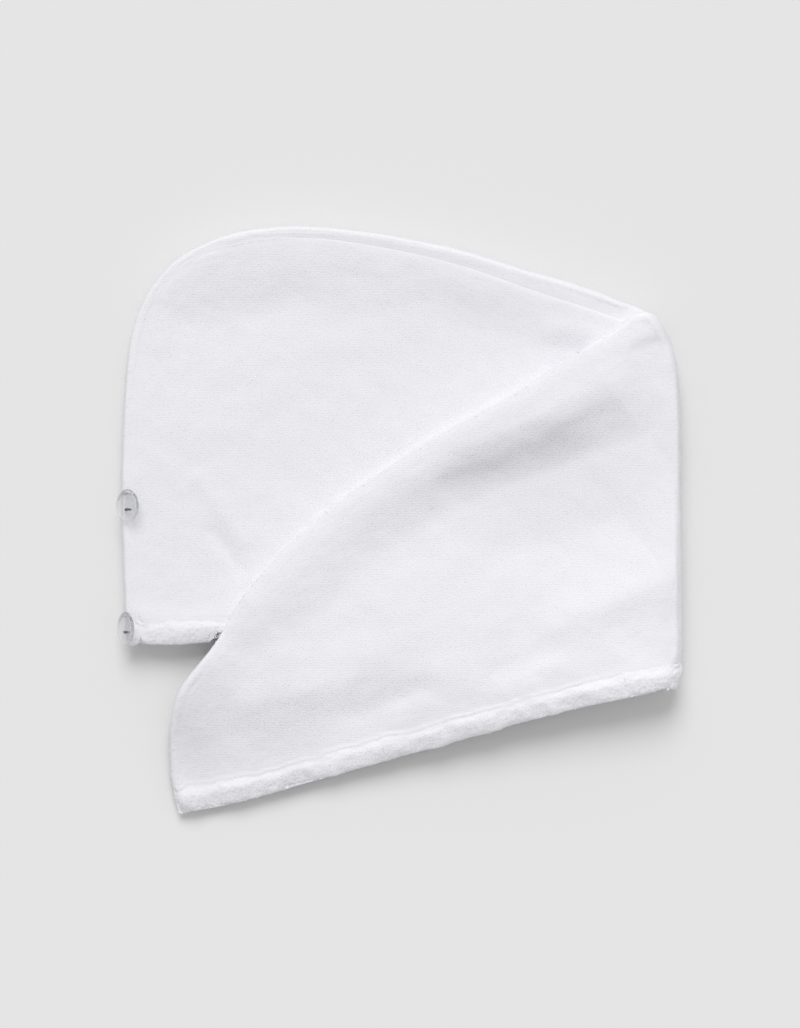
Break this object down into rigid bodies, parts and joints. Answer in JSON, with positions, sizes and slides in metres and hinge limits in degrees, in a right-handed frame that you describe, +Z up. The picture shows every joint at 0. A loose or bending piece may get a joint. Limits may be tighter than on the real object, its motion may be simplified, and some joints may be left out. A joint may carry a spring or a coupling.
{
  "type": "hair turban towel",
  "caption": "White terry hair turban towel lying flat with its tapered tail folded over the hood, open along its hems, with clear buttons on the back edge and an elastic loop at the tip.",
  "frame": {"origin": "on the floor under the middle of the box", "axes": "+X from the seamed back edge to the fold, +Y from the opening to the crown, +Z up from the floor"},
  "size_m": [0.3384, 0.351, 0.0304],
  "materials": {
    "terry": "white looped terry with a soft fluffy pile",
    "hem_terry": "white terry turned double, fluffier than the panels",
    "clear_plastic": "clear polished resin",
    "sewing_thread": "grey polyester thread",
    "elastic": "white covered elastic cord"
  },
  "bodies": {
    "root": {"front_panel": "terry", "back_panel": "terry", "front_hem": "hem_terry", "back_hem": "hem_terry", "upper_button": "clear_plastic", "upper_button_thread": "sewing_thread", "lower_button": "clear_plastic", "lower_button_thread": "sewing_thread", "button_loop": "elastic"}
  },
  "joints": []
}
